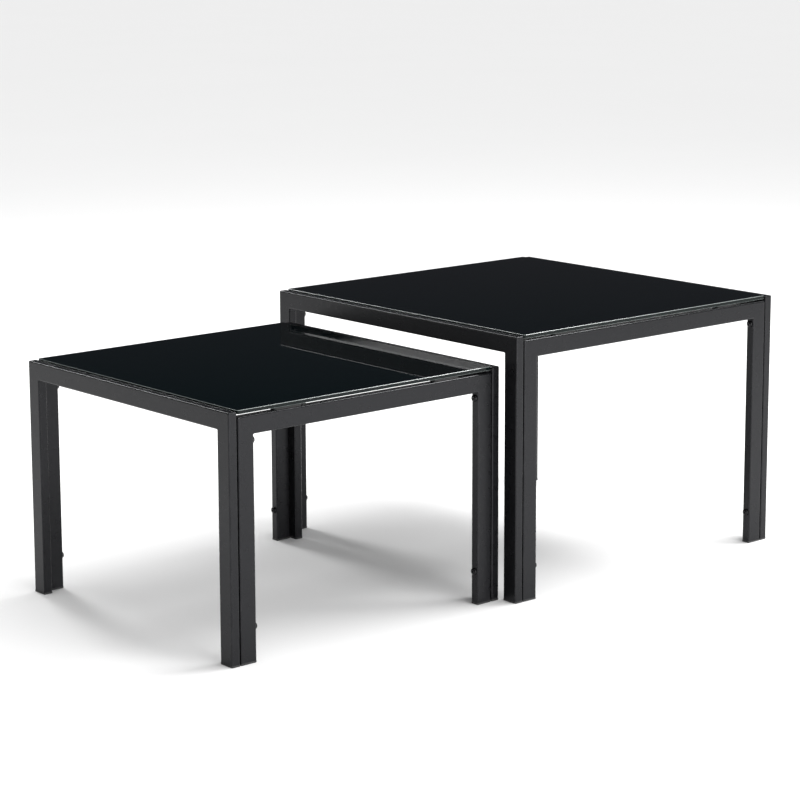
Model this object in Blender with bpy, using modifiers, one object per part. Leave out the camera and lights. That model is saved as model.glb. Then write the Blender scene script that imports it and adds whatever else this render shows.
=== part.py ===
# A pair of square nesting tables: black steel tube frames and black glass tops.
# Each table stands on four welded U-frames, a front and a rear one and two side ones that fit between
# them. A side frame is bolted to the front and rear frames through its legs, so each corner of a table
# is an L of two tubes. The glass lies on pads on the side rails, between the front and rear rails.
# The small table slides under the large one, along Y. Metres, Z up, floor at Z = 0.

import bpy
import bmesh
from math import cos, pi, radians, sin
from mathutils import Matrix, Vector

# Table sizes: side of the square, height of the front rail's top, how far below it a side rail's top
# lies, and where the centre stands in Y
TABLES = {
    "large": {"side": 0.600, "height": 0.430, "side_drop": 0.0075, "centre_y": 0.267},
    "small": {"side": 0.530, "height": 0.380, "side_drop": 0.0083, "centre_y": -0.302},
}

GAP = 0.0003                   # air between two pieces that touch

# Steel tube
TUBE_WIDE = 0.0285
TUBE_THIN = 0.015
TUBE_WALL = 0.0012
TUBE_CORNER = 0.002            # outside corner radius
SEAM = 0.0018                  # between a side frame and the frame beside it

# End caps in the feet
CAP_FLANGE = 0.003             # height of the part that stands on the floor
CAP_PROUD = 0.0003             # how far the flange stands out past the tube
CAP_CORNER = 0.0022
CAP_PLUG_HEIGHT = 0.012
CAP_PLUG_WALL = 0.0015

# Glass and the pads under it
GLASS_THICK = 0.006
GLASS_PROUD = 0.0015           # glass top above the front rail's top
GLASS_SIDE_INSET = 0.001       # glass edge inside a side rail's outer face
GLASS_RAIL_CLEARANCE = 0.002   # glass edge to the front rail's inner face
GLASS_CORNER = 0.004
GLASS_ARRIS = 0.0006
PAD_LENGTH = 0.050
PAD_WIDTH = 0.013
PAD_CORNER = 0.003
PAD_FROM_END = 0.110           # pad's centre to the table's front or rear face

# Bolts, and the threaded collars formed in the wall that they screw into
LOWER_BOLT_Z = 0.054
UPPER_BOLT_BELOW_RAIL = 0.0095
BOLT_SHANK_R = 0.0025
BOLT_LENGTH = 0.038
BOLT_HEAD_R = 0.0056
BOLT_HEAD_HEIGHT = 0.0042
BOLT_SOCKET_R = 0.0019
BOLT_SOCKET_DEPTH = 0.0022
COLLAR_R = 0.0042
COLLAR_LENGTH = 0.005
ROUND_STEPS = 12               # flats around a bolt, a collar or a hole

# Colour, roughness and metallic of what the pieces are made of
LOOKS = {
    "powder_coat": ((0.030, 0.030, 0.032), 0.48, 0.0),
    "black_glass": ((0.006, 0.008, 0.008), 0.04, 0.0),
    "black_plastic": ((0.018, 0.018, 0.019), 0.55, 0.0),
    "pad_rubber": ((0.010, 0.010, 0.010), 0.80, 0.0),
    "bolt_steel": ((0.045, 0.045, 0.048), 0.35, 0.8),
}

for old in list(bpy.data.objects):
    bpy.data.objects.remove(old, do_unlink=True)


def new_collection(name):
    collection = bpy.data.collections.new(name)
    bpy.context.scene.collection.children.link(collection)
    return collection


parts = new_collection("nesting_tables")
cutters = new_collection("cutters")


def new_object(name, data, collection, parent=None, place=Matrix()):
    obj = bpy.data.objects.new(name, data)
    collection.objects.link(obj)
    obj.parent = parent
    obj.matrix_local = place
    return obj


def finish_piece(name, mesh, look, parent, place=Matrix()):
    colour, roughness, metallic = LOOKS[look]
    material = bpy.data.materials.new(name)
    material.use_nodes = True
    shader = material.node_tree.nodes["Principled BSDF"]
    shader.inputs["Base Color"].default_value = (*colour, 1.0)
    shader.inputs["Roughness"].default_value = roughness
    shader.inputs["Metallic"].default_value = metallic
    mesh.materials.clear()
    mesh.materials.append(material)
    return new_object(name, mesh, parts, parent, place)


def mesh_from(bm, name):
    mesh = bpy.data.meshes.new(name)
    bm.to_mesh(mesh)
    bm.free()
    return mesh


def take_mesh(obj):
    """The object's mesh with its modifiers applied. The object is removed."""
    bpy.context.view_layer.update()
    depsgraph = bpy.context.evaluated_depsgraph_get()
    mesh = bpy.data.meshes.new_from_object(obj.evaluated_get(depsgraph))
    bpy.data.objects.remove(obj, do_unlink=True)
    return mesh


def box_bmesh(size, centre=(0, 0, 0)):
    bm = bmesh.new()
    bmesh.ops.create_cube(bm, size=1.0, matrix=Matrix.Translation(centre) @ Matrix.Diagonal((*size, 1.0)))
    return bm


def add_boolean(obj, other, operation):
    boolean = obj.modifiers.new(operation.lower(), "BOOLEAN")
    boolean.operation = operation
    boolean.solver = "EXACT"
    boolean.object = other


def new_cutter(name, mesh, parent=None):
    cutter = new_object(name, mesh, cutters, parent)
    cutter.hide_render = True
    cutter.display_type = "WIRE"
    return cutter


def round_vertical_edges(bm, radius, segments):
    upright = [e for e in bm.edges if abs((e.verts[0].co - e.verts[1].co).normalized().z) > 0.99]
    bmesh.ops.bevel(bm, geom=upright, offset=radius, segments=segments, profile=0.5, affect="EDGES")


def tube_mesh(length, mitre_start, mitre_end):
    """Rectangular tube along X from 0 to length, wide way along Z, with its long side at +Z where an
    end is mitred. A mitred end is cut at 45 degrees and left open, to be welded to the next tube."""
    bm = box_bmesh((length, TUBE_THIN, TUBE_WIDE), (length / 2, 0, 0))
    ends = [f for f in bm.faces if abs(f.normal.x) > 0.9]
    bmesh.ops.delete(bm, geom=ends, context="FACES_ONLY")
    sleeve = new_object("sleeve", mesh_from(bm, "sleeve"), parts)
    rounding = sleeve.modifiers.new("rounding", "BEVEL")
    rounding.width = TUBE_CORNER
    rounding.segments = 2
    rounding.limit_method = "ANGLE"
    rounding.angle_limit = radians(60)
    wall = sleeve.modifiers.new("wall", "SOLIDIFY")
    wall.thickness = TUBE_WALL
    wall.offset = -1.0
    wall.use_even_offset = True
    mesh = take_mesh(sleeve)

    bm = bmesh.new()
    bm.from_mesh(mesh)
    start_rim = [f for f in bm.faces if all(v.co.x < length / 2 for v in f.verts)]
    end_rim = [f for f in bm.faces if all(v.co.x > length / 2 for v in f.verts)]
    for vert in bm.verts:
        from_long_side = TUBE_WIDE / 2 - vert.co.z
        if vert.co.x < length / 2:
            vert.co.x += mitre_start * from_long_side
        else:
            vert.co.x -= mitre_end * from_long_side
    welded = (start_rim if mitre_start else []) + (end_rim if mitre_end else [])
    bmesh.ops.delete(bm, geom=welded, context="FACES_ONLY")
    bm.to_mesh(mesh)
    bm.free()
    return mesh


def frame_mesh(width, height):
    """A rail across the top and a leg at each end, welded at the mitres. Its outer face is at Y = 0,
    and its feet stop short of the floor by the end caps' flanges."""
    middle = TUBE_THIN / 2
    pieces = [(tube_mesh(width, 1, 1), Matrix.Translation((-width / 2, middle, height - TUBE_WIDE / 2)))]
    for end in (-1, 1):
        leg = tube_mesh(height - CAP_FLANGE - GAP, 1, 0)
        turn = Matrix.Rotation(radians(90 - 90 * end), 4, "Z") @ Matrix.Rotation(radians(90), 4, "Y")
        pieces.append((leg, Matrix.Translation((end * (width - TUBE_WIDE) / 2, middle, height)) @ turn))
    bm = bmesh.new()
    for mesh, place in pieces:
        mesh.transform(place)
        bm.from_mesh(mesh)
    bmesh.ops.remove_doubles(bm, verts=bm.verts, dist=0.00005)
    bmesh.ops.recalc_face_normals(bm, faces=bm.faces)
    return mesh_from(bm, "frame")


def turned_mesh(profile):
    """Profile of (radius, height) points turned about Z, listed down its outer side."""
    outline = bpy.data.meshes.new("outline")
    outline.from_pydata([(r, 0, z) for r, z in profile], [(i, i + 1) for i in range(len(profile) - 1)], [])
    obj = new_object("turned", outline, parts)
    screw = obj.modifiers.new("turn", "SCREW")
    screw.steps = ROUND_STEPS
    screw.render_steps = ROUND_STEPS
    screw.use_merge_vertices = True
    screw.merge_threshold = 0.00001
    return take_mesh(obj)


def bolt_mesh():
    """Button-head bolt. Its head's underside is at Z = 0 and its shank runs down."""
    flat_r = BOLT_SOCKET_R + 0.0005
    tip_chamfer = 0.0006
    dome = []
    for i in range(4):
        turn = i / 3 * pi / 2
        dome.append((flat_r + (BOLT_HEAD_R - flat_r) * sin(turn),
                     BOLT_HEAD_HEIGHT * (0.25 + 0.75 * cos(turn))))
    shank = [(BOLT_HEAD_R, 0), (BOLT_SHANK_R, 0), (BOLT_SHANK_R, tip_chamfer - BOLT_LENGTH),
             (BOLT_SHANK_R - tip_chamfer, -BOLT_LENGTH), (0, -BOLT_LENGTH)]
    bolt = new_object("bolt", turned_mesh([(0, BOLT_HEAD_HEIGHT)] + dome + shank), parts)
    bm = bmesh.new()
    bmesh.ops.create_cone(bm, cap_ends=True, segments=6, radius1=BOLT_SOCKET_R, radius2=BOLT_SOCKET_R,
                          depth=2 * BOLT_SOCKET_DEPTH, matrix=Matrix.Translation((0, 0, BOLT_HEAD_HEIGHT)))
    socket = new_cutter("bolt_socket", mesh_from(bm, "bolt_socket"))
    add_boolean(bolt, socket, "DIFFERENCE")
    mesh = take_mesh(bolt)
    bpy.data.objects.remove(socket, do_unlink=True)
    return mesh


def cap_mesh():
    """End cap: a flange on the floor with an open box plug above it."""
    flange_size = (TUBE_WIDE + 2 * CAP_PROUD, TUBE_THIN + 2 * CAP_PROUD, CAP_FLANGE)
    bm = box_bmesh(flange_size, (0, 0, CAP_FLANGE / 2))
    round_vertical_edges(bm, CAP_CORNER, 2)
    flange = new_object("flange", mesh_from(bm, "flange"), parts)
    plug_x = TUBE_WIDE - 2 * TUBE_WALL - 2 * GAP
    plug_y = TUBE_THIN - 2 * TUBE_WALL - 2 * GAP
    plug_top = CAP_FLANGE + CAP_PLUG_HEIGHT
    sunk = CAP_FLANGE / 2
    bm = box_bmesh((plug_x, plug_y, plug_top - sunk), (0, 0, (plug_top + sunk) / 2))
    round_vertical_edges(bm, TUBE_CORNER - TUBE_WALL, 1)
    top = max(bm.faces, key=lambda f: f.calc_center_median().z)
    bmesh.ops.inset_region(bm, faces=[top], thickness=CAP_PLUG_WALL, use_even_offset=True)
    well = bmesh.ops.extrude_discrete_faces(bm, faces=[top])["faces"]
    bmesh.ops.translate(bm, verts=well[0].verts, vec=(0, 0, -CAP_PLUG_HEIGHT))
    plug = new_cutter("plug", mesh_from(bm, "plug"))
    add_boolean(flange, plug, "UNION")
    mesh = take_mesh(flange)
    bpy.data.objects.remove(plug, do_unlink=True)
    return mesh


def slab_mesh(size, corner, corner_steps, arris):
    """Flat slab on Z = 0 with round corners and, where asked, chamfered edges."""
    bm = box_bmesh(size, (0, 0, size[2] / 2))
    round_vertical_edges(bm, corner, corner_steps)
    if arris:
        rim = [e for e in bm.edges if abs(e.verts[0].co.z - e.verts[1].co.z) < 1e-6]
        bmesh.ops.bevel(bm, geom=rim, offset=arris, segments=1, affect="EDGES")
    return mesh_from(bm, "slab")


def rods(name, parent, spots, direction, radius, depth):
    """Round rods of one size centred on the spots, in the parent's space, for cutting or joining."""
    bm = bmesh.new()
    turn = Vector((0, 0, 1)).rotation_difference(Vector(direction)).to_matrix().to_4x4()
    for spot in spots:
        bmesh.ops.create_cone(bm, cap_ends=True, segments=ROUND_STEPS, radius1=radius, radius2=radius,
                              depth=depth, matrix=Matrix.Translation(spot) @ turn)
    return new_cutter(name, mesh_from(bm, name), parent)


def build_frame(name, ends, width, height, bolt_zs, takes_bolts, parent, place):
    """One U-frame with its bolt holes, and its end caps. Its legs either pass the bolts through or
    take them in threaded collars."""
    origin = new_object(name + "_place", None, parts, parent, place)
    frame = finish_piece(name, frame_mesh(width, height), "powder_coat", origin)
    middle = TUBE_THIN / 2
    inner_wall = TUBE_THIN - TUBE_WALL
    hole_r = BOLT_SHANK_R + GAP
    if takes_bolts:
        xs = [end * (width - TUBE_THIN) / 2 for end in (-1, 1)]
        collar_y = inner_wall - COLLAR_LENGTH / 2 + TUBE_WALL / 2
        collars = rods(name + "_collars", origin, [(x, collar_y, z) for x in xs for z in bolt_zs],
                       (0, 1, 0), COLLAR_R, COLLAR_LENGTH)
        add_boolean(frame, collars, "UNION")
        holes = rods(name + "_holes", origin, [(x, inner_wall, z) for x in xs for z in bolt_zs],
                     (0, 1, 0), hole_r, 2 * COLLAR_LENGTH)
    else:
        xs = [end * (width - TUBE_WIDE) / 2 for end in (-1, 1)]
        holes = rods(name + "_holes", origin, [(x, middle, z) for x in xs for z in bolt_zs],
                     (1, 0, 0), hole_r, TUBE_WIDE * 1.2)
    add_boolean(frame, holes, "DIFFERENCE")
    for end, end_name in zip((-1, 1), ends):
        spot = Matrix.Translation((end * (width - TUBE_WIDE) / 2, middle, 0))
        finish_piece(f"{name}_{end_name}_end_cap", cap_mesh(), "black_plastic", origin, spot)


def build_table(table, side, height, side_drop, centre_y):
    root = new_object(f"{table}_table", None, parts, None, Matrix.Translation((0, centre_y, 0)))
    bolt_zs = (LOWER_BOLT_Z, height - side_drop - TUBE_WIDE - UPPER_BOLT_BELOW_RAIL)
    side_frame_width = side - 2 * (TUBE_THIN + SEAM)
    half = side / 2

    # Each frame is turned about Z so that its inside faces the table's middle
    frames = (("front", ("left", "right"), side, height, (0, -half), 0),
              ("rear", ("right", "left"), side, height, (0, half), 180),
              ("right", ("front", "rear"), side_frame_width, height - side_drop, (half, 0), 90),
              ("left", ("rear", "front"), side_frame_width, height - side_drop, (-half, 0), -90))
    for side_name, ends, width, top, (x, y), turn in frames:
        place = Matrix.Translation((x, y, 0)) @ Matrix.Rotation(radians(turn), 4, "Z")
        build_frame(f"{table}_{side_name}_frame", ends, width, top, bolt_zs, width == side, root, place)

    # Glass top and the pads it lies on
    glass_bottom = height + GLASS_PROUD - GLASS_THICK
    glass_size = (side - 2 * GLASS_SIDE_INSET, side - 2 * (TUBE_THIN + GLASS_RAIL_CLEARANCE), GLASS_THICK)
    finish_piece(f"{table}_glass_top", slab_mesh(glass_size, GLASS_CORNER, 3, GLASS_ARRIS),
                 "black_glass", root, Matrix.Translation((0, 0, glass_bottom)))
    pad_bottom = height - side_drop + GAP
    pad_size = (PAD_WIDTH, PAD_LENGTH, glass_bottom - GAP - pad_bottom)

    # Bolts go through the side frames' legs into the collars in the front and rear frames' legs
    head_seat = half - TUBE_THIN - SEAM - TUBE_WIDE - GAP
    for side_name, sx in (("left", -1), ("right", 1)):
        for end_name, sy in (("front", -1), ("rear", 1)):
            x = sx * (half - TUBE_THIN / 2)
            spot = Matrix.Translation((x, sy * (half - PAD_FROM_END), pad_bottom))
            finish_piece(f"{table}_glass_pad_{end_name}_{side_name}", slab_mesh(pad_size, PAD_CORNER, 2, 0),
                         "pad_rubber", root, spot)
            turn = Matrix.Rotation(radians(90 * sy), 4, "X")
            for level, z in zip(("lower", "upper"), bolt_zs):
                bolt = finish_piece(f"{table}_{level}_bolt_{end_name}_{side_name}", bolt_mesh(), "bolt_steel",
                                    root, Matrix.Translation((x, sy * head_seat, z)) @ turn)
                bolt.data.shade_smooth()
                bolt.data.set_sharp_from_angle(angle=radians(35))


for table, sizes in TABLES.items():
    build_table(table, **sizes)
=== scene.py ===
from math import cos, pi, radians, sin

import bmesh
import bpy
from mathutils import Matrix, Vector


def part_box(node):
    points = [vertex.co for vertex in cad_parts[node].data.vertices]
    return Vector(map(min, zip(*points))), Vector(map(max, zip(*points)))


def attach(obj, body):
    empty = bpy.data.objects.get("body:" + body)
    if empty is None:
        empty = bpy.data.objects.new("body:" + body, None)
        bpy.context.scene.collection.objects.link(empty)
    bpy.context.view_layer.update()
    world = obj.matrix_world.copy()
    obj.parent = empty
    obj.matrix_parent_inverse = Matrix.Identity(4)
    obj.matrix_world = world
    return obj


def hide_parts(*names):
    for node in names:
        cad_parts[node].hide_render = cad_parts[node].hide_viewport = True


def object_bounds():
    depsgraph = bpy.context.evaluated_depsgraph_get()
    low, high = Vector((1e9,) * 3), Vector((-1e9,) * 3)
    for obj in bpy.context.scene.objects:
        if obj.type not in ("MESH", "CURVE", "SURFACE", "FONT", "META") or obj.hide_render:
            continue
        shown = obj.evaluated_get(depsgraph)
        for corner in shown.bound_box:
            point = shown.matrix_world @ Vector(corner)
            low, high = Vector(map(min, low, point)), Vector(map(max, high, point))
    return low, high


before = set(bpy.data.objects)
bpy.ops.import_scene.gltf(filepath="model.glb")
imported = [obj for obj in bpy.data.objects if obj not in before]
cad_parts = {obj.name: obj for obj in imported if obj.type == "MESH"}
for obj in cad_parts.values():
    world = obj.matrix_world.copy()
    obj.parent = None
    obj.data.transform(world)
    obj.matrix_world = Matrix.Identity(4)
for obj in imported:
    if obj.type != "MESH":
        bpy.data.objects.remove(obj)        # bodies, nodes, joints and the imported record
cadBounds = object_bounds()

scene = bpy.context.scene
tableNames = ("large", "small")
sideTurns = {"front": 0, "rear": 180, "right": 90, "left": -90}  # degrees about Z
print("frame loaded:", len(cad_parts), "CAD nodes")


# Helpers for node trees

def addNode(tree, kind, inputs=None, settings=None):
    node = tree.nodes.new(kind)
    for name, value in (settings or {}).items():
        setattr(node, name, value)
    for key, value in (inputs or {}).items():
        if isinstance(value, bpy.types.NodeSocket):
            tree.links.new(value, node.inputs[key])
        else:
            node.inputs[key].default_value = value
    return node


def calc(tree, operation, first, second=0.0, third=0.0):
    node = addNode(tree, "ShaderNodeMath", {0: first, 1: second, 2: third}, {"operation": operation})
    return node.outputs[0]


def newGroup(name, kind, inputs, outputs):
    # inputs: {name: (socket type, default)}, outputs: {name: socket type}
    group = bpy.data.node_groups.new(name, kind)
    for socketName, (socketType, default) in inputs.items():
        socket = group.interface.new_socket(socketName, in_out="INPUT", socket_type=socketType)
        if default is not None:
            socket.default_value = default
    for socketName, socketType in outputs.items():
        group.interface.new_socket(socketName, in_out="OUTPUT", socket_type=socketType)
    return group, group.nodes.new("NodeGroupInput").outputs, group.nodes.new("NodeGroupOutput")


def useGroup(tree, group, inputs):
    return addNode(tree, "ShaderNodeGroup", inputs, {"node_tree": group}).outputs


# Shader effects that more than one material uses

def makeCoatGrain():
    # The fine orange-peel skin of powder coat and of moulded plastic: two sizes of bump
    group, given, out = newGroup("coatGrain", "ShaderNodeTree",
                                 {"Vector": ("NodeSocketVector", None),
                                  "Grain Scale": ("NodeSocketFloat", 900.0),
                                  "Wave Scale": ("NodeSocketFloat", 110.0),
                                  "Wave Share": ("NodeSocketFloat", 0.35)},
                                 {"Height": "NodeSocketFloat", "Tone": "NodeSocketFloat"})
    grain = addNode(group, "ShaderNodeTexNoise", {"Vector": given["Vector"], "Scale": given["Grain Scale"],
                                                  "Detail": 2.0, "Roughness": 0.55})
    wave = addNode(group, "ShaderNodeTexNoise", {"Vector": given["Vector"], "Scale": given["Wave Scale"],
                                                 "Detail": 3.0, "Roughness": 0.5})
    height = addNode(group, "ShaderNodeMix", {0: given["Wave Share"], 2: grain.outputs["Fac"],
                                              3: wave.outputs["Fac"]})
    group.links.new(height.outputs[0], out.inputs["Height"])
    group.links.new(wave.outputs["Fac"], out.inputs["Tone"])
    return group


def makeEdgeWearAndHighlight():
    # Rubbed arrises: the arris mask broken up by noise, so the wear comes and goes along an edge. On the bolt
    # heads the same mask also lays a painted highlight.
    group, given, out = newGroup("edgeWearAndHighlight", "ShaderNodeTree",
                                 {"Vector": ("NodeSocketVector", None),
                                  "Arris": ("NodeSocketFloat", 0.0),
                                  "Patch Scale": ("NodeSocketFloat", 45.0),
                                  "Amount": ("NodeSocketFloat", 0.5)},
                                 {"Mask": "NodeSocketFloat"})
    patches = addNode(group, "ShaderNodeTexNoise", {"Vector": given["Vector"], "Scale": given["Patch Scale"],
                                                    "Detail": 6.0, "Roughness": 0.7})
    spread = addNode(group, "ShaderNodeMapRange", {"Value": patches.outputs["Fac"], "From Min": 0.42,
                                                   "From Max": 0.68, "To Min": 0.0, "To Max": 1.0})
    core = calc(group, "POWER", given["Arris"], 2.5)
    mask = calc(group, "MULTIPLY", calc(group, "MULTIPLY", core, spread.outputs["Result"]), given["Amount"])
    group.links.new(mask, out.inputs["Mask"])
    return group


def makeDust():
    # Settled dust: small soft specks on faces that look up, thinner on the sides
    group, given, out = newGroup("dust", "ShaderNodeTree",
                                 {"Vector": ("NodeSocketVector", None),
                                  "Speck Scale": ("NodeSocketFloat", 260.0),
                                  "Speck Size": ("NodeSocketFloat", 0.10),
                                  "Amount": ("NodeSocketFloat", 0.3)},
                                 {"Mask": "NodeSocketFloat"})
    specks = addNode(group, "ShaderNodeTexVoronoi", {"Vector": given["Vector"], "Scale": given["Speck Scale"],
                                                     "Randomness": 1.0})
    dots = addNode(group, "ShaderNodeMapRange", {"Value": specks.outputs["Distance"], "From Min": 0.0,
                                                 "From Max": given["Speck Size"], "To Min": 1.0, "To Max": 0.0})
    chosen = addNode(group, "ShaderNodeSeparateColor", {"Color": specks.outputs["Color"]})
    some = calc(group, "GREATER_THAN", chosen.outputs[0], 0.78)
    facing = addNode(group, "ShaderNodeNewGeometry")
    upward = addNode(group, "ShaderNodeSeparateXYZ", {0: facing.outputs["Normal"]})
    lying = addNode(group, "ShaderNodeMapRange", {"Value": upward.outputs["Z"], "From Min": -0.2,
                                                  "From Max": 0.9, "To Min": 0.05, "To Max": 1.0})
    mask = calc(group, "MULTIPLY", calc(group, "MULTIPLY", dots.outputs["Result"], some),
                calc(group, "MULTIPLY", lying.outputs["Result"], given["Amount"]))
    group.links.new(mask, out.inputs["Mask"])
    return group


coatGrain, edgeWearAndHighlight, dust = makeCoatGrain(), makeEdgeWearAndHighlight(), makeDust()
print("shared shader effects built")


# Materials

def newMaterial(name):
    material = bpy.data.materials.new(name)
    material.use_nodes = True
    tree = material.node_tree
    shader = tree.nodes["Principled BSDF"]
    place = addNode(tree, "ShaderNodeTexCoord").outputs["Object"]
    return material, tree, shader, place


def readMask(tree, name):
    return addNode(tree, "ShaderNodeAttribute", settings={"attribute_name": name}).outputs["Fac"]


def blend(tree, share, low, high):
    # Colours mixed by a mask that changes over the surface
    node = addNode(tree, "ShaderNodeMix", settings={"data_type": "RGBA"})
    for index, value in ((0, share), (6, low), (7, high)):
        if isinstance(value, bpy.types.NodeSocket):
            tree.links.new(value, node.inputs[index])
        else:
            node.inputs[index].default_value = (*value, 1.0) if index else value
    return node.outputs[2]


def span(tree, value, low, high, fromLow=0.0, fromHigh=1.0):
    node = addNode(tree, "ShaderNodeMapRange", {"Value": value, "From Min": fromLow, "From Max": fromHigh,
                                                "To Min": low, "To Max": high})
    return node.outputs["Result"]


def bumpFrom(tree, height, strength, distance):
    return addNode(tree, "ShaderNodeBump", {"Height": height, "Strength": strength,
                                            "Distance": distance}).outputs["Normal"]


powderCoat = {
    "deep": (0.0036, 0.0037, 0.0042),    # base colour in the hollows
    "light": (0.0072, 0.0074, 0.0084),   # and on the crests
    "worn": (0.060, 0.060, 0.063),       # rubbed arris
    "dusty": (0.12, 0.118, 0.115),
    "roughness": (0.26, 0.34),
    "sheenTint": (0.95, 0.955, 1.0, 1.0),
    "sheenLevel": 0.26,
    "grainScale": 850.0,
    "waveScale": 95.0,
    "waveShare": 0.3,
    "toneSpan": (0.3, 0.7),  # share of the wave that the roughness follows
    "bumpStrength": 0.05,
    "bumpDistance": 0.0002,
    "arrisPolish": -0.12,    # the coat draws thin and glossier over an arris
    "wear": 0.15,
    "dust": 0.04,
    "speckScale": 230.0,
    "speckSize": 0.09,
}


def makePowderCoat(look):
    material, tree, shader, place = newMaterial("satin black powder coat")
    grain = useGroup(tree, coatGrain, {"Vector": place, "Grain Scale": look["grainScale"],
                                       "Wave Scale": look["waveScale"],
                                       "Wave Share": look["waveShare"]})
    arris = readMask(tree, "arris")
    wear = useGroup(tree, edgeWearAndHighlight, {"Vector": place, "Arris": arris, "Amount": look["wear"]})["Mask"]
    specks = useGroup(tree, dust, {"Vector": place, "Speck Scale": look["speckScale"],
                                   "Speck Size": look["speckSize"], "Amount": look["dust"]})["Mask"]
    colour = blend(tree, grain["Height"], look["deep"], look["light"])
    colour = blend(tree, wear, colour, look["worn"])
    colour = blend(tree, specks, colour, look["dusty"])
    tree.links.new(colour, shader.inputs["Base Color"])
    smooth = span(tree, grain["Tone"], *look["roughness"], *look["toneSpan"])
    tree.links.new(calc(tree, "MULTIPLY_ADD", arris, look["arrisPolish"], smooth), shader.inputs["Roughness"])
    tree.links.new(bumpFrom(tree, grain["Height"], look["bumpStrength"], look["bumpDistance"]),
                   shader.inputs["Normal"])
    shader.inputs["Specular Tint"].default_value = look["sheenTint"]
    shader.inputs["Specular IOR Level"].default_value = look["sheenLevel"]
    return material


blackGlass = {
    "face": (0.0014, 0.0026, 0.0030),    # the black enamel seen through the glass
    "edge": (0.0030, 0.0056, 0.0052),    # polished edge, where the glass shows its green
    "ground": (0.16, 0.18, 0.175),       # ground arris
    "dusty": (0.22, 0.22, 0.21),
    "roughness": (0.015, 0.045),
    "edgeRoughness": 0.03,
    "groundRoughness": 0.16,
    "enamelRoughness": 0.42,             # the painted underside
    "ior": 1.52,
    "smearScale": 9.0,                   # wiped smears on the face
    "smearSpan": (0.35, 0.70),
    "speckScale": 150.0,
    "speckSize": 0.05,
    "speckRoughness": 0.5,
    "gritScale": 2600.0,                 # grinding marks on the arris
    "gritStrength": 0.25,
    "gritDistance": 0.0001,
    "sheenLevel": 0.5,
    "edgeSheenLevel": 0.13,              # the ground edge takes in light and gives little back
    "dust": 0.10,
}


def makeBlackGlass(name, look, sheenLevel):
    material, tree, shader, place = newMaterial(name)
    ground = readMask(tree, "arris")
    edge = readMask(tree, "edge")
    smears = addNode(tree, "ShaderNodeTexNoise", {"Vector": place, "Scale": look["smearScale"], "Detail": 5.0,
                                                  "Roughness": 0.6, "Distortion": 1.2}).outputs["Fac"]
    specks = useGroup(tree, dust, {"Vector": place, "Speck Scale": look["speckScale"],
                                   "Speck Size": look["speckSize"], "Amount": look["dust"]})["Mask"]
    colour = blend(tree, edge, look["face"], look["edge"])
    colour = blend(tree, specks, colour, look["dusty"])
    colour = blend(tree, ground, colour, look["ground"])
    tree.links.new(colour, shader.inputs["Base Color"])
    polish = span(tree, smears, *look["roughness"], *look["smearSpan"])
    polish = calc(tree, "MULTIPLY_ADD", edge, look["edgeRoughness"], polish)
    polish = calc(tree, "MULTIPLY_ADD", readMask(tree, "enamel"), look["enamelRoughness"], polish)
    dull = calc(tree, "MULTIPLY_ADD", ground, look["groundRoughness"], polish)
    tree.links.new(calc(tree, "MULTIPLY_ADD", specks, look["speckRoughness"], dull), shader.inputs["Roughness"])
    grit = addNode(tree, "ShaderNodeTexNoise", {"Vector": place, "Scale": look["gritScale"],
                                                "Detail": 2.0}).outputs["Fac"]
    tree.links.new(bumpFrom(tree, calc(tree, "MULTIPLY", grit, ground), look["gritStrength"],
                            look["gritDistance"]), shader.inputs["Normal"])
    shader.inputs["IOR"].default_value = look["ior"]
    shader.inputs["Specular IOR Level"].default_value = sheenLevel
    shader.inputs["Metallic"].default_value = 0.0
    shader.inputs["Transmission Weight"].default_value = 0.0
    return material


mouldedBlack = {
    "capDeep": (0.012, 0.012, 0.013), "capLight": (0.022, 0.022, 0.023), "capRoughness": (0.46, 0.60),
    "capScuffed": (0.075, 0.074, 0.072),
    "rubberDeep": (0.008, 0.008, 0.008), "rubberLight": (0.018, 0.018, 0.018), "rubberRoughness": (0.72, 0.88),
    "capGrain": (1300.0, 0.3), "rubberGrain": (1500.0, 0.35),   # (scale, bump strength)
    "waveScale": 140.0, "waveShare": 0.2, "toneSpan": (0.3, 0.7), "bumpDistance": 0.0003,
    "toneShift": 0.35, "toneCentre": 0.17,   # how far one piece's shade differs from the next
    "wearScale": 160.0, "wear": 0.6, "speckScale": 320.0, "dust": 0.2, "dusty": (0.15, 0.145, 0.14),
}


def makeMoulded(name, look, kind):
    deep, light, scuffed = look[kind + "Deep"], look[kind + "Light"], look.get(kind + "Scuffed")
    grainScale, strength = look[kind + "Grain"]
    material, tree, shader, place = newMaterial(name)
    grain = useGroup(tree, coatGrain, {"Vector": place, "Grain Scale": grainScale,
                                       "Wave Scale": look["waveScale"], "Wave Share": look["waveShare"]})
    tone = addNode(tree, "ShaderNodeAttribute", settings={"attribute_name": "pieceTone"}).outputs["Fac"]
    share = calc(tree, "MULTIPLY_ADD", tone, look["toneShift"], grain["Height"])
    colour = blend(tree, calc(tree, "SUBTRACT", share, look["toneCentre"]), deep, light)
    if scuffed:
        wear = useGroup(tree, edgeWearAndHighlight, {"Vector": place, "Arris": readMask(tree, "arris"),
                                         "Patch Scale": look["wearScale"], "Amount": look["wear"]})["Mask"]
        colour = blend(tree, wear, colour, scuffed)
    specks = useGroup(tree, dust, {"Vector": place, "Speck Scale": look["speckScale"],
                                   "Amount": look["dust"]})["Mask"]
    tree.links.new(blend(tree, specks, colour, look["dusty"]), shader.inputs["Base Color"])
    smooth = span(tree, grain["Tone"], *look[kind + "Roughness"], *look["toneSpan"])
    tree.links.new(smooth, shader.inputs["Roughness"])
    tree.links.new(bumpFrom(tree, grain["Height"], strength, look["bumpDistance"]), shader.inputs["Normal"])
    return material


# The bolt's bright arris colour is partly plating rubbed through and partly a painted highlight: it lays a
# bright ring and specks on the black head.
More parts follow.
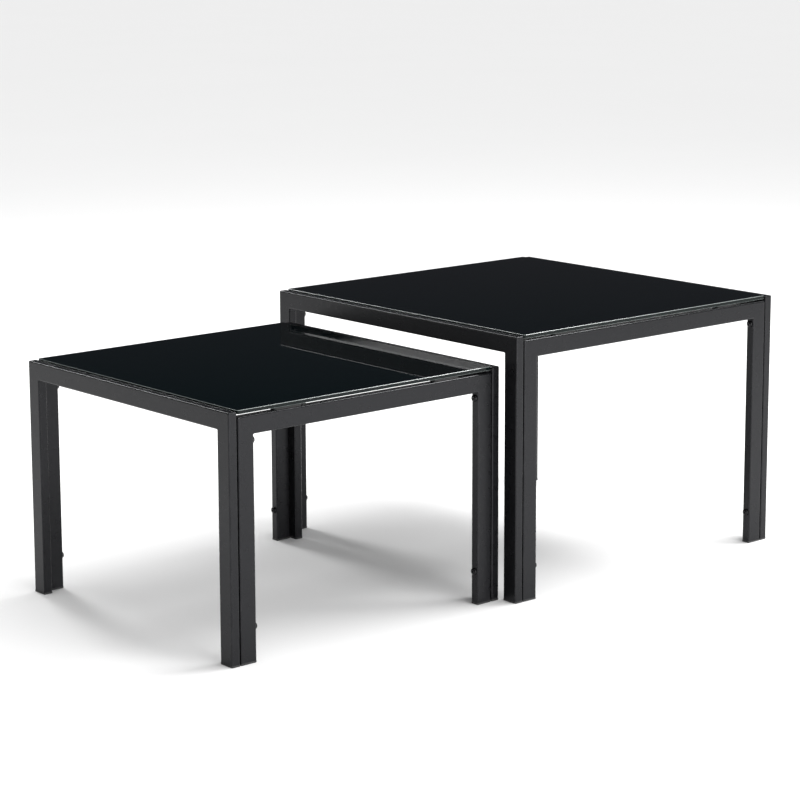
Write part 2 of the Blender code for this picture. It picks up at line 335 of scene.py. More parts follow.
boltFinish = {
    "deep": (0.004, 0.004, 0.0045), "light": (0.012, 0.012, 0.013), "wornAndHighlight": (0.62, 0.62, 0.64),
    "roughness": (0.12, 0.22), "metallic": 0.8, "grainScale": 1900.0, "waveScale": 420.0, "waveShare": 0.5,
    "toneSpan": (0.3, 0.7), "wearScale": 300.0, "wear": 0.95, "bumpStrength": 0.12, "bumpDistance": 0.00012,
}


def makeBoltSteel(look):
    material, tree, shader, place = newMaterial("black zinc steel")
    grain = useGroup(tree, coatGrain, {"Vector": place, "Grain Scale": look["grainScale"],
                                       "Wave Scale": look["waveScale"], "Wave Share": look["waveShare"]})
    wear = useGroup(tree, edgeWearAndHighlight, {"Vector": place, "Arris": readMask(tree, "arris"),
                                     "Patch Scale": look["wearScale"], "Amount": look["wear"]})["Mask"]
    colour = blend(tree, grain["Height"], look["deep"], look["light"])
    # Bright arrises: worn plating, and a painted highlight on the head's rim and socket edge
    tree.links.new(blend(tree, wear, colour, look["wornAndHighlight"]), shader.inputs["Base Color"])
    tree.links.new(span(tree, grain["Tone"], *look["roughness"], *look["toneSpan"]), shader.inputs["Roughness"])
    tree.links.new(bumpFrom(tree, grain["Height"], look["bumpStrength"], look["bumpDistance"]),
                   shader.inputs["Normal"])
    shader.inputs["Metallic"].default_value = look["metallic"]
    return material


finishes = {
    "steel": makePowderCoat(powderCoat),
    "glass": makeBlackGlass("black glass", blackGlass, blackGlass["sheenLevel"]),
    "glassEdge": makeBlackGlass("black glass edge", blackGlass, blackGlass["edgeSheenLevel"]),
    "cap": makeMoulded("moulded black plastic", mouldedBlack, "cap"),
    "pad": makeMoulded("black rubber", mouldedBlack, "rubber"),
    "bolt": makeBoltSteel(boltFinish),
}
print("materials built:", ", ".join(m.name for m in finishes.values()))


# Helpers for meshes

def roundedOutline(halfWide, halfDeep, radius, steps, hold=0.0):
    # Rounded rectangle round its middle, anticlockwise, as (x, y, onArris). "hold" adds a point on the flat
    # just past each end of an arc, so that shading and wear stay at the corner.
    points = []
    for corner, (sx, sy) in enumerate(((1, 1), (-1, 1), (-1, -1), (1, -1))):
        cx, cy = sx * (halfWide - radius), sy * (halfDeep - radius)
        start = corner * pi / 2
        before = (sin(start), -cos(start))
        after = (-sin(start + pi / 2), cos(start + pi / 2))
        if hold:
            points.append((cx + radius * cos(start) + before[0] * hold,
                           cy + radius * sin(start) + before[1] * hold, 0.0))
        for step in range(steps + 1):
            angle = start + step / steps * pi / 2
            points.append((cx + radius * cos(angle), cy + radius * sin(angle), 1.0))
        if hold:
            end = start + pi / 2
            points.append((cx + radius * cos(end) + after[0] * hold,
                           cy + radius * sin(end) + after[1] * hold, 0.0))
    return points


def stackRings(name, rings, masks):
    # A closed body from rings of points, lowest first, each with one value of every mask
    count = len(rings[0])
    verts = [point for ring in rings for point in ring]
    faces = []
    for row in range(len(rings) - 1):
        for i in range(count):
            j = (i + 1) % count
            faces.append((row * count + i, row * count + j, (row + 1) * count + j, (row + 1) * count + i))
    faces.append(tuple(reversed(range(count))))
    faces.append(tuple(range((len(rings) - 1) * count, len(rings) * count)))
    mesh = bpy.data.meshes.new(name)
    mesh.from_pydata(verts, [], faces)
    for maskName, values in masks.items():
        mask = mesh.attributes.new(maskName, "FLOAT", "POINT")
        mask.data.foreach_set("value", [value for value in values for _ in range(count)])
    return mesh


def turnOut(mesh, place=None):
    # Merges doubles, points the faces outwards and moves the mesh to its place
    bm = bmesh.new()
    bm.from_mesh(mesh)
    bmesh.ops.remove_doubles(bm, verts=bm.verts, dist=0.000005)
    bmesh.ops.recalc_face_normals(bm, faces=bm.faces)
    if place is not None:
        bm.transform(place)
    bm.to_mesh(mesh)
    bm.free()
    mesh.shade_smooth()
    return mesh


def evenShading(mesh):
    # Large flats keep a flat shade beside their rounded arrises
    holder = bpy.data.objects.new("holder", mesh)
    scene.collection.objects.link(holder)
    weighting = holder.modifiers.new("weighting", "WEIGHTED_NORMAL")
    weighting.mode = "FACE_AREA"
    weighting.weight = 100
    made = takeMesh(holder)
    bpy.data.objects.remove(holder, do_unlink=True)
    return made


def takeMesh(obj):
    bpy.context.view_layer.update()
    return bpy.data.meshes.new_from_object(obj.evaluated_get(bpy.context.evaluated_depsgraph_get()))


def newPiece(name, mesh, finish):
    mesh.name = name
    mesh.materials.clear()
    mesh.materials.append(finishes[finish])
    piece = bpy.data.objects.new(name, mesh)
    scene.collection.objects.link(piece)
    return piece


def setInputs(modifier, values):
    # By each socket's identifier, before the object is first evaluated
    for item in modifier.node_group.interface.items_tree:
        if item.item_type == "SOCKET" and item.in_out == "INPUT" and item.name in values:
            modifier[item.identifier] = values[item.name]


def helperObject(name, mesh):
    obj = bpy.data.objects.new(name, mesh)
    scene.collection.objects.link(obj)
    return obj


# U-frames: a rectangular tube swept along a U path, with welded mitres

tubeShape = {
    "wide": 0.0285,
    "wall": 0.0012,
    "arrisRadius": 0.0020,
    "arrisSteps": 5,
    "hold": 0.0007,          # flat strip kept beside each arris
    "cornerRadius": 0.0020,  # outside corner of the U, and the weld fillet inside it
    "cornerSteps": 5,
}


def makeTubeTree():
    tree, given, out = newGroup("tubeAlongPath", "GeometryNodeTree",
                                {"Path": ("NodeSocketGeometry", None),
                                 "Profile": ("NodeSocketObject", None),
                                 "Corner Radius": ("NodeSocketFloat", 0.002),
                                 "Corner Steps": ("NodeSocketInt", 5),
                                 "Weld Distance": ("NodeSocketFloat", 0.000005),
                                 "Material": ("NodeSocketMaterial", None)},
                                {"Geometry": "NodeSocketGeometry"})
    curve = addNode(tree, "GeometryNodeMeshToCurve", {"Mesh": given["Path"]}).outputs["Curve"]
    path = addNode(tree, "GeometryNodeFilletCurve",
                   {"Curve": curve, "Count": given["Corner Steps"], "Radius": given["Corner Radius"]},
                   {"mode": "POLY"}).outputs["Curve"]
    profile = addNode(tree, "GeometryNodeObjectInfo", {"Object": given["Profile"]}).outputs["Geometry"]
    stations = addNode(tree, "GeometryNodeAttributeDomainSize", {"Geometry": path},
                       {"component": "CURVE"}).outputs["Point Count"]
    around = addNode(tree, "GeometryNodeAttributeDomainSize", {"Geometry": profile},
                     {"component": "MESH"}).outputs["Point Count"]

    # A grid that goes out along the tube's skin and back along the inside of its wall
    twice = calc(tree, "MULTIPLY", stations, 2.0)
    long = calc(tree, "ADD", twice, 1.0)
    grid = addNode(tree, "GeometryNodeMeshGrid", {"Vertices X": calc(tree, "ADD", around, 1.0),
                                                  "Vertices Y": long}).outputs["Mesh"]
    index = addNode(tree, "GeometryNodeInputIndex").outputs[0]
    station = calc(tree, "MODULO", index, long)
    corner = calc(tree, "MODULO", calc(tree, "FLOOR", calc(tree, "DIVIDE", index, long)), around)
    inside = calc(tree, "MULTIPLY", calc(tree, "GREATER_THAN", station, calc(tree, "SUBTRACT", stations, 0.5)),
                  calc(tree, "LESS_THAN", station, calc(tree, "SUBTRACT", twice, 0.5)))
    back = calc(tree, "SUBTRACT", calc(tree, "SUBTRACT", twice, 1.0), station)
    outwards = calc(tree, "MODULO", station, twice)
    stop = calc(tree, "ADD", calc(tree, "MULTIPLY", inside, back),
                calc(tree, "MULTIPLY", calc(tree, "SUBTRACT", 1.0, inside), outwards))

    def sampled(geometry, value, at, dataType):
        node = tree.nodes.new("GeometryNodeSampleIndex")
        node.data_type, node.domain = dataType, "POINT"
        for name, source in (("Geometry", geometry), ("Value", value), ("Index", at)):
            tree.links.new(source, node.inputs[name])
        return node.outputs[0]

    def named(name, dataType):
        return addNode(tree, "GeometryNodeInputNamedAttribute", {"Name": name},
                       {"data_type": dataType}).outputs[0]

    position = addNode(tree, "GeometryNodeInputPosition").outputs[0]
    onPath = sampled(path, position, stop, "FLOAT_VECTOR")
    onSkin = sampled(profile, position, corner, "FLOAT_VECTOR")
    onWall = sampled(profile, named("inside", "FLOAT_VECTOR"), corner, "FLOAT_VECTOR")
    arris = sampled(profile, named("arris", "FLOAT"), corner, "FLOAT")
    section = addNode(tree, "ShaderNodeMix", settings={"data_type": "VECTOR"})
    for key, source in ((0, inside), (4, onSkin), (5, onWall)):
        tree.links.new(source, section.inputs[key])
    across = addNode(tree, "ShaderNodeSeparateXYZ", {0: section.outputs[1]}).outputs
    along = addNode(tree, "ShaderNodeSeparateXYZ", {0: onPath}).outputs

    # Each line of the tube turns inside the one before it, so the corners come out mitred
    towardsMiddle = calc(tree, "MULTIPLY", calc(tree, "SIGN", along["X"]), -1.0)
    fromEnd = calc(tree, "MINIMUM", stop, calc(tree, "SUBTRACT", calc(tree, "SUBTRACT", stations, 1.0), stop))
    aboveFoot = calc(tree, "MINIMUM", fromEnd, 1.0)
    place = addNode(tree, "ShaderNodeCombineXYZ", {
        "X": calc(tree, "MULTIPLY_ADD", across["X"], towardsMiddle, along["X"]),
        "Y": calc(tree, "ADD", along["Y"], across["Y"]),
        "Z": calc(tree, "SUBTRACT", along["Z"], calc(tree, "MULTIPLY", across["X"], aboveFoot))}).outputs[0]
    moved = addNode(tree, "GeometryNodeSetPosition", {"Geometry": grid, "Position": place}).outputs[0]
    wearable = calc(tree, "MULTIPLY", arris, calc(tree, "SUBTRACT", 1.0, inside))
    marked = addNode(tree, "GeometryNodeStoreNamedAttribute",
                     settings={"data_type": "FLOAT", "domain": "POINT"})
    marked.inputs["Name"].default_value = "arris"
    tree.links.new(moved, marked.inputs["Geometry"])
    tree.links.new(wearable, marked.inputs["Value"])
    welded = addNode(tree, "GeometryNodeMergeByDistance", {"Geometry": marked.outputs[0],
                                                           "Distance": given["Weld Distance"]}).outputs[0]
    real = addNode(tree, "GeometryNodeRealizeInstances", {"Geometry": welded}).outputs[0]
    coated = addNode(tree, "GeometryNodeSetMaterial",
                     {"Geometry": real, "Material": given["Material"]}).outputs[0]
    tree.links.new(coated, out.inputs["Geometry"])
    return tree


def makeTubeProfile(thin, shape):
    # The tube's section: X from the outside of the U inwards, Y from its outer face inwards
    wide, radius, wall = shape["wide"], shape["arrisRadius"], shape["wall"]
    skin = roundedOutline(wide / 2, thin / 2, radius, shape["arrisSteps"], shape["hold"])
    inner = roundedOutline(wide / 2 - wall, thin / 2 - wall, radius - wall, shape["arrisSteps"], shape["hold"])
    middle = Vector((wide / 2, thin / 2, 0))
    mesh = bpy.data.meshes.new("tubeProfile")
    mesh.from_pydata([Vector((x, y, 0)) + middle for x, y, _ in skin], [], [])
    insideAt = mesh.attributes.new("inside", "FLOAT_VECTOR", "POINT")
    insideAt.data.foreach_set("vector", [c for x, y, _ in inner for c in Vector((x, y, 0)) + middle])
    arris = mesh.attributes.new("arris", "FLOAT", "POINT")
    arris.data.foreach_set("value", [onArris for _, _, onArris in skin])
    return helperObject("tubeProfile", mesh)


def frameSpot(node, turn):
    # Where a U-frame stands: its width, thickness, top, foot and the middle of its outer face
    low, high = (Vector(c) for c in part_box(node))
    size, middle = high - low, (low + high) / 2
    turned = Matrix.Rotation(radians(turn), 4, "Z")
    outward = turned @ Vector((0, -1, 0))
    thin, width = min(size.x, size.y), max(size.x, size.y)
    face = Vector((middle.x, middle.y, 0)) + outward * thin / 2
    return width, thin, high.z, low.z, Matrix.Translation(face) @ turned


tubeTree = makeTubeTree()
tubeProfile = makeTubeProfile(frameSpot("small_front_frame", 0)[1], tubeShape)
for table in tableNames:
    for side, turn in sideTurns.items():
        node = f"{table}_{side}_frame"
        width, thin, top, foot, place = frameSpot(node, turn)
        half = width / 2
        pathMesh = bpy.data.meshes.new("path")
        pathMesh.from_pydata([(-half, 0, foot), (-half, 0, top), (half, 0, top), (half, 0, foot)],
                             [(0, 1), (1, 2), (2, 3)], [])
        path = helperObject("path", pathMesh)
        sweep = path.modifiers.new("sweep", "NODES")
        sweep.node_group = tubeTree
        setInputs(sweep, {"Profile": tubeProfile, "Corner Radius": tubeShape["cornerRadius"],
                          "Corner Steps": tubeShape["cornerSteps"], "Material": finishes["steel"]})
        swept = takeMesh(path)
        path.modifiers.clear()
        bpy.data.objects.remove(path, do_unlink=True)
        piece = newPiece(f"{table}_{side}_u_frame", evenShading(turnOut(swept, place)), "steel")
        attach(piece, f"{table}_table")
        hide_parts(node)
bpy.data.objects.remove(tubeProfile, do_unlink=True)
print("U-frames swept:", len(tableNames) * len(sideTurns))


# Glass tops

glassShape = {
    "cornerRadius": 0.004,
    "cornerSteps": 10,
    "arris": 0.0006,      # ground chamfer along every edge
    "hold": 0.00012,
    "edgeUpright": 0.2,   # a face whose normal rises less than this belongs to the edge
}


def makeGlass(node, shape):
    low, high = (Vector(c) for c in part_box(node))
    half, middle = (high - low) / 2, (low + high) / 2
    thick, arris, hold = high.z - low.z, shape["arris"], shape["hold"]
    levels = [  # (height, inset, ground arris, polished edge, enamel underneath)
        (0, arris + hold, 0, 0, 1), (0, arris, 1, 0, 0), (arris, 0, 1, 1, 0), (arris + hold, 0, 0, 1, 0),
        (thick - arris - hold, 0, 0, 1, 0), (thick - arris, 0, 1, 1, 0), (thick, arris, 1, 0, 0),
        (thick, arris + hold, 0, 0, 0)]
    rings = []
    for z, inset, *_ in levels:
        outline = roundedOutline(half.x - inset, half.y - inset, shape["cornerRadius"] - inset,
                                 shape["cornerSteps"])
        rings.append([(middle.x + x, middle.y + y, low.z + z) for x, y, _ in outline])
    return stackRings(node, rings, {name: [level[column] for level in levels]
                                    for column, name in enumerate(("arris", "edge", "enamel"), 2)})


for table in tableNames:
    node = f"{table}_glass_top"
    piece = newPiece(f"{table}_black_glass", evenShading(turnOut(makeGlass(node, glassShape))), "glass")
    piece.data.materials.append(finishes["glassEdge"])
    for face in piece.data.polygons:
        face.material_index = 1 if abs(face.normal.z) < glassShape["edgeUpright"] else 0
    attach(piece, f"{table}_table")
    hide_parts(node)
print("glass tops made:", len(tableNames))


# What repeats: bolts, end caps and glass pads, set out on points

def makeSetOutTree():
    tree, given, out = newGroup("setOutOnPoints", "GeometryNodeTree",
                                {"Spots": ("NodeSocketGeometry", None),
                                 "Piece": ("NodeSocketObject", None),
                                 "Size": ("NodeSocketVector", (1.0, 1.0, 1.0)),
                                 "Turn Range": ("NodeSocketFloat", 0.0),
                                 "Seed": ("NodeSocketInt", 1),
                                 "Material": ("NodeSocketMaterial", None)},
                                {"Geometry": "NodeSocketGeometry"})
    shape = addNode(tree, "GeometryNodeObjectInfo",
                    {"Object": given["Piece"], "As Instance": True}).outputs["Geometry"]

    def direction(name):
        return addNode(tree, "GeometryNodeInputNamedAttribute", {"Name": name},
                       {"data_type": "FLOAT_VECTOR"}).outputs[0]

    facing = addNode(tree, "FunctionNodeAxesToRotation",
                     settings={"primary_axis": "Z", "secondary_axis": "X"})
    tree.links.new(direction("facing"), facing.inputs[0])
    tree.links.new(direction("along"), facing.inputs[1])
    index = addNode(tree, "GeometryNodeInputIndex").outputs[0]

    def chance(salt):
        node = addNode(tree, "FunctionNodeRandomValue", settings={"data_type": "FLOAT"})
        tree.links.new(index, node.inputs["ID"])
        tree.links.new(calc(tree, "ADD", given["Seed"], salt), node.inputs["Seed"])
        return node.outputs[1]

    angle = calc(tree, "MULTIPLY", chance(0.0), given["Turn Range"])
    turn = addNode(tree, "FunctionNodeAxisAngleToRotation",
                   {"Axis": (0.0, 0.0, 1.0), "Angle": angle}).outputs[0]
    turned = addNode(tree, "FunctionNodeRotateRotation", settings={"rotation_space": "LOCAL"})
    tree.links.new(facing.outputs[0], turned.inputs[0])
    tree.links.new(turn, turned.inputs[1])
    placed = addNode(tree, "GeometryNodeInstanceOnPoints", {"Points": given["Spots"], "Instance": shape,
                                                            "Rotation": turned.outputs[0],
                                                            "Scale": given["Size"]}).outputs[0]
    toned = addNode(tree, "GeometryNodeStoreNamedAttribute",
                    settings={"data_type": "FLOAT", "domain": "INSTANCE"})
    toned.inputs["Name"].default_value = "pieceTone"
    tree.links.new(placed, toned.inputs["Geometry"])
    tree.links.new(chance(7.0), toned.inputs["Value"])
    real = addNode(tree, "GeometryNodeRealizeInstances", {"Geometry": toned.outputs[0]}).outputs[0]
    coated = addNode(tree, "GeometryNodeSetMaterial",
                     {"Geometry": real, "Material": given["Material"]}).outputs[0]
    tree.links.new(coated, out.inputs["Geometry"])
    return tree


setOutTree = makeSetOutTree()


def setOut(name, shape, spots, finish, seed, turnRange=0.0):
    # spots: (place, facing, along) for each copy of the shape
    points = bpy.data.meshes.new("spots")
    points.from_pydata([place for place, _, _ in spots], [], [])
    for attribute, column in (("facing", 1), ("along", 2)):
        stored = points.attributes.new(attribute, "FLOAT_VECTOR", "POINT")
        stored.data.foreach_set("vector", [c for spot in spots for c in spot[column]])
    holder = helperObject("spots", points)
    setting = holder.modifiers.new("setting", "NODES")
    setting.node_group = setOutTree
    setInputs(setting, {"Piece": shape, "Turn Range": turnRange, "Seed": seed, "Material": finishes[finish]})
    made = takeMesh(holder)
    holder.modifiers.clear()
    bpy.data.objects.remove(holder, do_unlink=True)
    return newPiece(name, evenShading(turnOut(made)), finish)


boltShape = {
    "headRadius": 0.0056,
    "headHeight": 0.0042,
    "rimHeight": 0.0012,      # straight rim under the dome
    "socketRadius": 0.0020,   # across the hexagon's corners
    "socketDepth": 0.0022,
    "shankRadius": 0.0025,
    "threadDepth": 0.00025,
    "threadPitch": 0.0010,
    "threadFrom": 0.020,      # plain shank before the thread
    "tipChamfer": 0.0006,
    "flatWidth": 0.0005,      # flat top between the socket and the dome
    "breakEdge": 0.00015,     # sharp edges taken off
    "centreRadius": 0.0002,   # where the end faces close
    "socketCone": 0.0004,     # drill point at the socket's bottom
    "stepsRound": 36,
    "domeSteps": 7,
}


def makeBolt(length, shape):
    # Domed head with a hexagon socket. The head's underside is at Z = 0 and the shank runs down.
    shank, head, rim = shape["shankRadius"], shape["headRadius"], shape["rimHeight"]
    socket, top, edge = shape["socketRadius"], shape["headHeight"], shape["breakEdge"]
    root, pitch, centre = shank - shape["threadDepth"], shape["threadPitch"], shape["centreRadius"]
    crest = shape["tipChamfer"] - length
    # (radius, height, how much of a hexagon, arris: share of worn plating and painted highlight)
    rings = [(centre, -length, 0, 0), (shank - shape["tipChamfer"], -length, 0, 0), (root, crest, 0, 0)]
    while crest + pitch < -shape["threadFrom"]:
        rings += [(shank, crest + 0.4 * pitch, 0, 1), (root, crest + pitch, 0, 0)]
        crest += pitch
    rings += [(shank, crest + 0.4 * pitch, 0, 0), (shank, -centre, 0, 0), (shank + centre, 0, 0, 0),
              (head - edge, 0, 0, 0), (head, edge, 0, 0.5), (head, rim, 0, 0.3)]
    flat = socket + shape["flatWidth"]
    for step in range(1, shape["domeSteps"] + 1):
        turn = step / shape["domeSteps"] * pi / 2
        rings.append((flat + (head - flat) * cos(turn), rim + (top - rim) * sin(turn), 0, 0.2))
    rings += [(socket + edge, top, 0.6, 1), (socket, top - edge, 1, 1),
              (socket, top - shape["socketDepth"], 1, 0),
              (centre, top - shape["socketDepth"] - shape["socketCone"], 0, 0)]
    count = shape["stepsRound"]
    loops = []
    for radius, height, hexagon, _ in rings:
        loop = []
        for i in range(count):
            angle = i / count * 2 * pi
            flatWay = cos(pi / 6) / cos((angle % (pi / 3)) - pi / 6)
            reach = radius * (1 - hexagon + hexagon * flatWay)
            loop.append((reach * cos(angle), reach * sin(angle), height))
        loops.append(loop)
    return helperObject("bolt", turnOut(stackRings("bolt", loops, {"arris": [ring[3] for ring in rings]})))


capShape = {
    "cornerRadius": 0.0022,
    "cornerSteps": 5,
    "footRounding": 0.0008,   # under the flange
    "topRounding": 0.0003,
    "plugInset": 0.0018,      # the plug inside the tube, from the flange's outline
    "plugHeight": 0.012,
    "plugWall": 0.0015,
    "plugLead": 0.0006,       # chamfer that leads the plug into the tube
    "floorThick": 0.0008,     # floor of the hollow, above the flange
    "leastRadius": 0.0003,
    "footSteps": 4,
}


def makeCap(size, shape):
    # A flange on the floor with an open box plug that stands up inside the tube
    halfWide, halfDeep, flange = size[0] / 2, size[1] / 2, shape["flange"]
    foot, lip = shape["footRounding"], shape["topRounding"]
    soleFlat = 0.0004   # flat strip kept inside the sole's rounding
    levels = [(0, foot + soleFlat, 0)]
    for step in range(shape["footSteps"] + 1):
        turn = step / shape["footSteps"] * pi / 2
        levels.append((foot * (1 - cos(turn)), foot * (1 - sin(turn)), 0.8))
    levels += [(flange - lip, 0, 0.3), (flange - lip * 0.3, lip * 0.3, 0.6), (flange, lip, 0.2)]
    top = flange + shape["plugHeight"]
    inset, wall = shape["plugInset"], shape["plugWall"]
    levels += [(flange, inset, 0), (top - shape["plugLead"], inset, 0), (top, inset + soleFlat, 0.2),
               (top, inset + wall, 0), (flange + shape["floorThick"], inset + wall, 0)]
    rings = []
    for z, pulled, _ in levels:
        radius = max(shape["cornerRadius"] - pulled, shape["leastRadius"])
        rings.append([(x, y, z) for x, y, _ in roundedOutline(halfWide - pulled, halfDeep - pulled, radius,
                                                             shape["cornerSteps"])])
    return helperObject("cap", turnOut(stackRings("cap", rings, {"arris": [level[2] for level in levels]})))


padShape = {
    "cornerRadius": 0.003,
    "cornerSteps": 6,
    "rounding": 0.0005,
    "rim": 0.0012,         # flat rim round the top
    "rimFall": 0.0004,     # width of the step down inside the rim
    "hollow": 0.0002,      # depth of the top inside the rim
    "leastRadius": 0.0006,
}


def makePad(size, shape):
    halfLong, halfWide, thick = size[0] / 2, size[1] / 2, size[2]
    rounding, rim = shape["rounding"], shape["rim"]
    nip = rounding * 0.3   # how far a rounded edge's middle stands from its corner
    levels = [(0, rounding), (nip, nip), (rounding, 0), (thick - rounding, 0), (thick - nip, nip),
              (thick, rounding), (thick, rounding + rim),
              (thick - shape["hollow"], rounding + rim + shape["rimFall"])]
    rings = []
    for z, pulled in levels:
        radius = max(shape["cornerRadius"] - pulled, shape["leastRadius"])
        rings.append([(x, y, z) for x, y, _ in roundedOutline(halfLong - pulled, halfWide - pulled, radius,
                                                             shape["cornerSteps"])])
    return helperObject("pad", turnOut(stackRings("pad", rings, {"arris": [0, 0.6, 0.2, 0.2, 0.6, 0.4, 0, 0]})))


def boxOf(node):
    low, high = (Vector(c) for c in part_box(node))
    return low, high, high - low, (low + high) / 2


ends = [(end, side) for end in ("front", "rear") for side in ("left", "right")]
up = Vector((0, 0, 1))

# Bolts: heads on the side frames' legs, facing the middle of the table
for seed, table in enumerate(tableNames):
    nodes = [f"{table}_{level}_bolt_{end}_{side}" for level in ("lower", "upper") for end, side in ends]
    spots = []
    for node in nodes:
        low, high, size, middle = boxOf(node)
        inward = 1 if "_front_" in node else -1
        seat = (high.y if inward > 0 else low.y) - inward * boltShape["headHeight"]
        spots.append(((middle.x, seat, middle.z), (0, inward, 0), (1, 0, 0)))
    master = makeBolt(boxOf(nodes[0])[2].y - boltShape["headHeight"], boltShape)
    piece = setOut(f"{table}_frame_bolts", master, spots, "bolt", 21 + seed, 2 * pi)
    bpy.data.objects.remove(master, do_unlink=True)
    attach(piece, f"{table}_table")
    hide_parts(*nodes)
    print("bolts set in the", table, "table:", len(nodes))

# End caps: one in each foot of each U-frame
for seed, table in enumerate(tableNames):
    nodes = [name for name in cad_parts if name.startswith(table) and name.endswith("_end_cap")]
    spots = []
    for node in nodes:
        low, high, size, middle = boxOf(node)
        along = (1, 0, 0) if size.x > size.y else (0, 1, 0)
        spots.append(((middle.x, middle.y, low.z), up, along))
    low, high, size, middle = boxOf(nodes[0])
    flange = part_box(f"{table}_front_frame")[0][2] - low.z - 0.0003   # the tube stops just above it
    master = makeCap((max(size.x, size.y), min(size.x, size.y)), {**capShape, "flange": flange,
                                                                  "plugHeight": size.z - flange})
    piece = setOut(f"{table}_end_caps", master, spots, "cap", 31 + seed)
    bpy.data.objects.remove(master, do_unlink=True)
    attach(piece, f"{table}_table")
    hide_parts(*nodes)
    print("end caps set in the", table, "table:", len(nodes))

# Rubber pads between the side rails and the glass
for seed, table in enumerate(tableNames):
    nodes = [f"{table}_glass_pad_{end}_{side}" for end, side in ends]
    spots = []
    for node in nodes:
        low, high, size, middle = boxOf(node)
        spots.append(((middle.x, middle.y, low.z), up, (0, 1, 0)))
    low, high, size, middle = boxOf(nodes[0])
    master = makePad((size.y, size.x, size.z), padShape)
    piece = setOut(f"{table}_glass_pads", master, spots, "pad", 41 + seed)
    bpy.data.objects.remove(master, do_unlink=True)
    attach(piece, f"{table}_table")
    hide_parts(*nodes)
    print("pads set on the", table, "table:", len(nodes))


# Floor, light and camera

studio = {
    "floorSize": 60.0,
    "floorSteps": 12,
    "floorBelow": 0.0001,     # just under the feet
    "floorRoughness": 0.9,
    "floorSheen": 0.1,
    "cloudScale": 1.3,
    "cloudShade": 0.985,
    "floorColour": (0.86, 0.86, 0.86),
    "backgroundPale": (0.87, 0.87, 0.87),
    "roomDark": (0.0095, 0.0150, 0.0180),
    "roomHaze": (0.031, 0.029, 0.033),     # the room's walls, low down
    "hazeHeights": (0.21, 0.14),
    "fill": 0.50,
}


def makeFloor(look):
    half = look["floorSize"] / 2
    mesh = bpy.data.meshes.new("studioFloor")
    steps = look["floorSteps"]
    level = cadBounds[0][2] - look["floorBelow"]
    grid = [(-half + 2 * half * i / steps, -half + 2 * half * j / steps, level)
            for j in range(steps + 1) for i in range(steps + 1)]
    wide = steps + 1
    mesh.from_pydata(grid, [], [(j * wide + i, j * wide + i + 1, (j + 1) * wide + i + 1, (j + 1) * wide + i)
                                for j in range(steps) for i in range(steps)])
    material, tree, shader, place = newMaterial("pale studio floor")
    cloud = addNode(tree, "ShaderNodeTexNoise", {"Vector": place, "Scale": look["cloudScale"],
                                                  "Detail": 4.0}).outputs["Fac"]
    low = tuple(c * look["cloudShade"] for c in look["floorColour"])
    tree.links.new(blend(tree, cloud, low, look["floorColour"]), shader.inputs["Base Color"])
    shader.inputs["Roughness"].default_value = look["floorRoughness"]
    shader.inputs["Specular IOR Level"].default_value = look["floorSheen"]
    mesh.materials.append(material)
    floor = helperObject("studioFloor", mesh)


def makeWorld(look):
    world = bpy.data.worlds.new("studio")
    scene.world = world
    world.use_nodes = True
    tree = world.node_tree
    tree.nodes.clear()
    ray = addNode(tree, "ShaderNodeLightPath").outputs
    seen = addNode(tree, "ShaderNodeBackground", {"Color": (*look["backgroundPale"], 1), "Strength": 1.0})
    towards = addNode(tree, "ShaderNodeTexCoord").outputs["Generated"]
    height = addNode(tree, "ShaderNodeSeparateXYZ", {0: towards}).outputs["Z"]
    low = span(tree, height, 0.0, 1.0, *look["hazeHeights"])
    room = addNode(tree, "ShaderNodeBackground", {"Color": blend(tree, low, look["roomDark"], look["roomHaze"]),
                                                  "Strength": 1.0})
    fill = addNode(tree, "ShaderNodeBackground", {"Color": (1, 1, 1, 1), "Strength": look["fill"]})
    lit = addNode(tree, "ShaderNodeMixShader", {0: ray["Is Diffuse Ray"], 1: room.outputs[0],
                                                2: fill.outputs[0]})
    whole = addNode(tree, "ShaderNodeMixShader", {0: ray["Is Camera Ray"], 1: lit.outputs[0],
                                                  2: seen.outputs[0]})
    addNode(tree, "ShaderNodeOutputWorld", {"Surface": whole.outputs[0]})


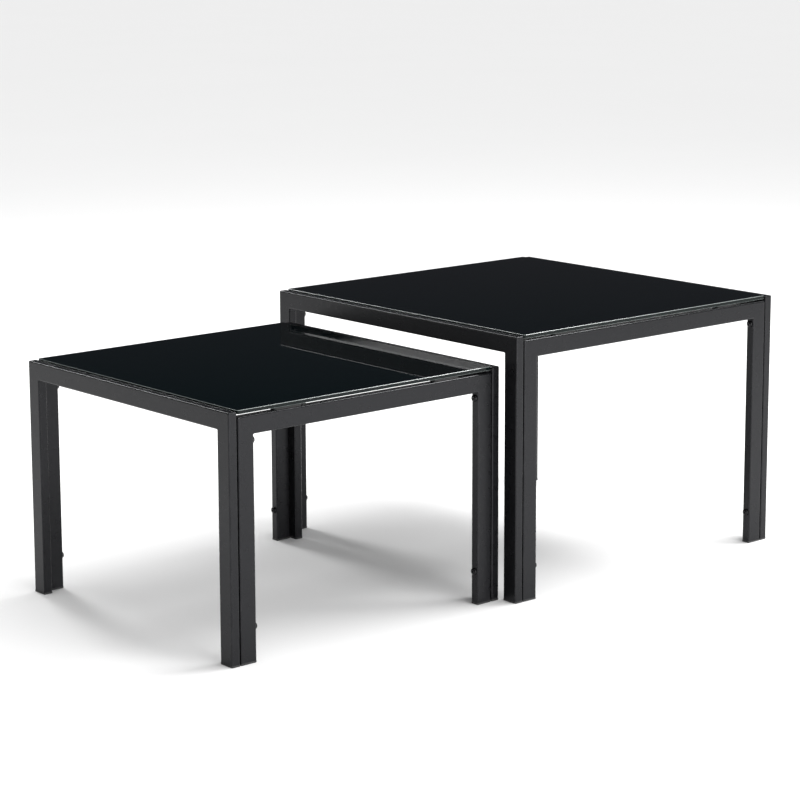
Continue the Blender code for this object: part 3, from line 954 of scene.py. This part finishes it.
def aim(obj, place, target):
    obj.location = place
    obj.rotation_euler = (Vector(target) - Vector(place)).to_track_quat("-Z", "Y").to_euler()


def addArea(name, place, size, power, target=(0, 0, 0.3)):
    light = bpy.data.lights.new(name, "AREA")
    light.shape = "RECTANGLE"
    light.size, light.size_y = size
    light.energy = power
    obj = bpy.data.objects.new(name, light)
    scene.collection.objects.link(obj)
    obj.visible_camera = False
    aim(obj, place, target)


sunLight = {"towards": (0.25, 0.35, 1.0), "angle": 70, "strength": 1.85}   # angle in degrees
areaLights = {   # name: (place, size, watts), each aimed at the tables
    "rightCard": ((3.5, 0.1, 0.9), (2.6, 1.6), 92),
    "leftCard": ((-3.4, -3.4, 0.9), (3.0, 1.4), 9),
    "rearRim": ((0.62, 2.3, 2.9), (2.4, 0.6), 95),
    "leftRim": ((-2.5, -0.1, 2.6), (0.6, 1.5), 45),
}


def addSun(name, towards, angle, strength):
    sun = bpy.data.lights.new(name, "SUN")
    sun.angle = radians(angle)
    sun.energy = strength
    obj = bpy.data.objects.new(name, sun)
    scene.collection.objects.link(obj)
    aim(obj, towards, (0, 0, 0))


makeFloor(studio)
makeWorld(studio)
addSun("overhead", **sunLight)
for name, (spot, size, power) in areaLights.items():
    addArea(name, spot, size, power)

camera = {
    "place": (3.0208, -2.6151, 1.1210),
    "pitch": 10.036,    # degrees below level
    "yaw": 49.276,      # to the left of +Y
    "roll": -0.161,
    "lens": 110.25,
    "shift": -0.1,
}
lensData = bpy.data.cameras.new("camera")
lensData.lens, lensData.shift_y = camera["lens"], camera["shift"]
lensData.clip_end = 100
cameraObject = bpy.data.objects.new("camera", lensData)
scene.collection.objects.link(cameraObject)
cameraObject.location = camera["place"]
aimed = (Matrix.Rotation(radians(camera["yaw"]), 3, "Z")
         @ Matrix.Rotation(radians(90 - camera["pitch"]), 3, "X")
         @ Matrix.Rotation(radians(camera["roll"]), 3, "Z"))
cameraObject.rotation_euler = aimed.to_euler()
scene.camera = cameraObject
scene.view_settings.view_transform = "Standard"
scene.view_settings.look = "None"
print("floor, lights and camera placed")

bpy.context.view_layer.update()
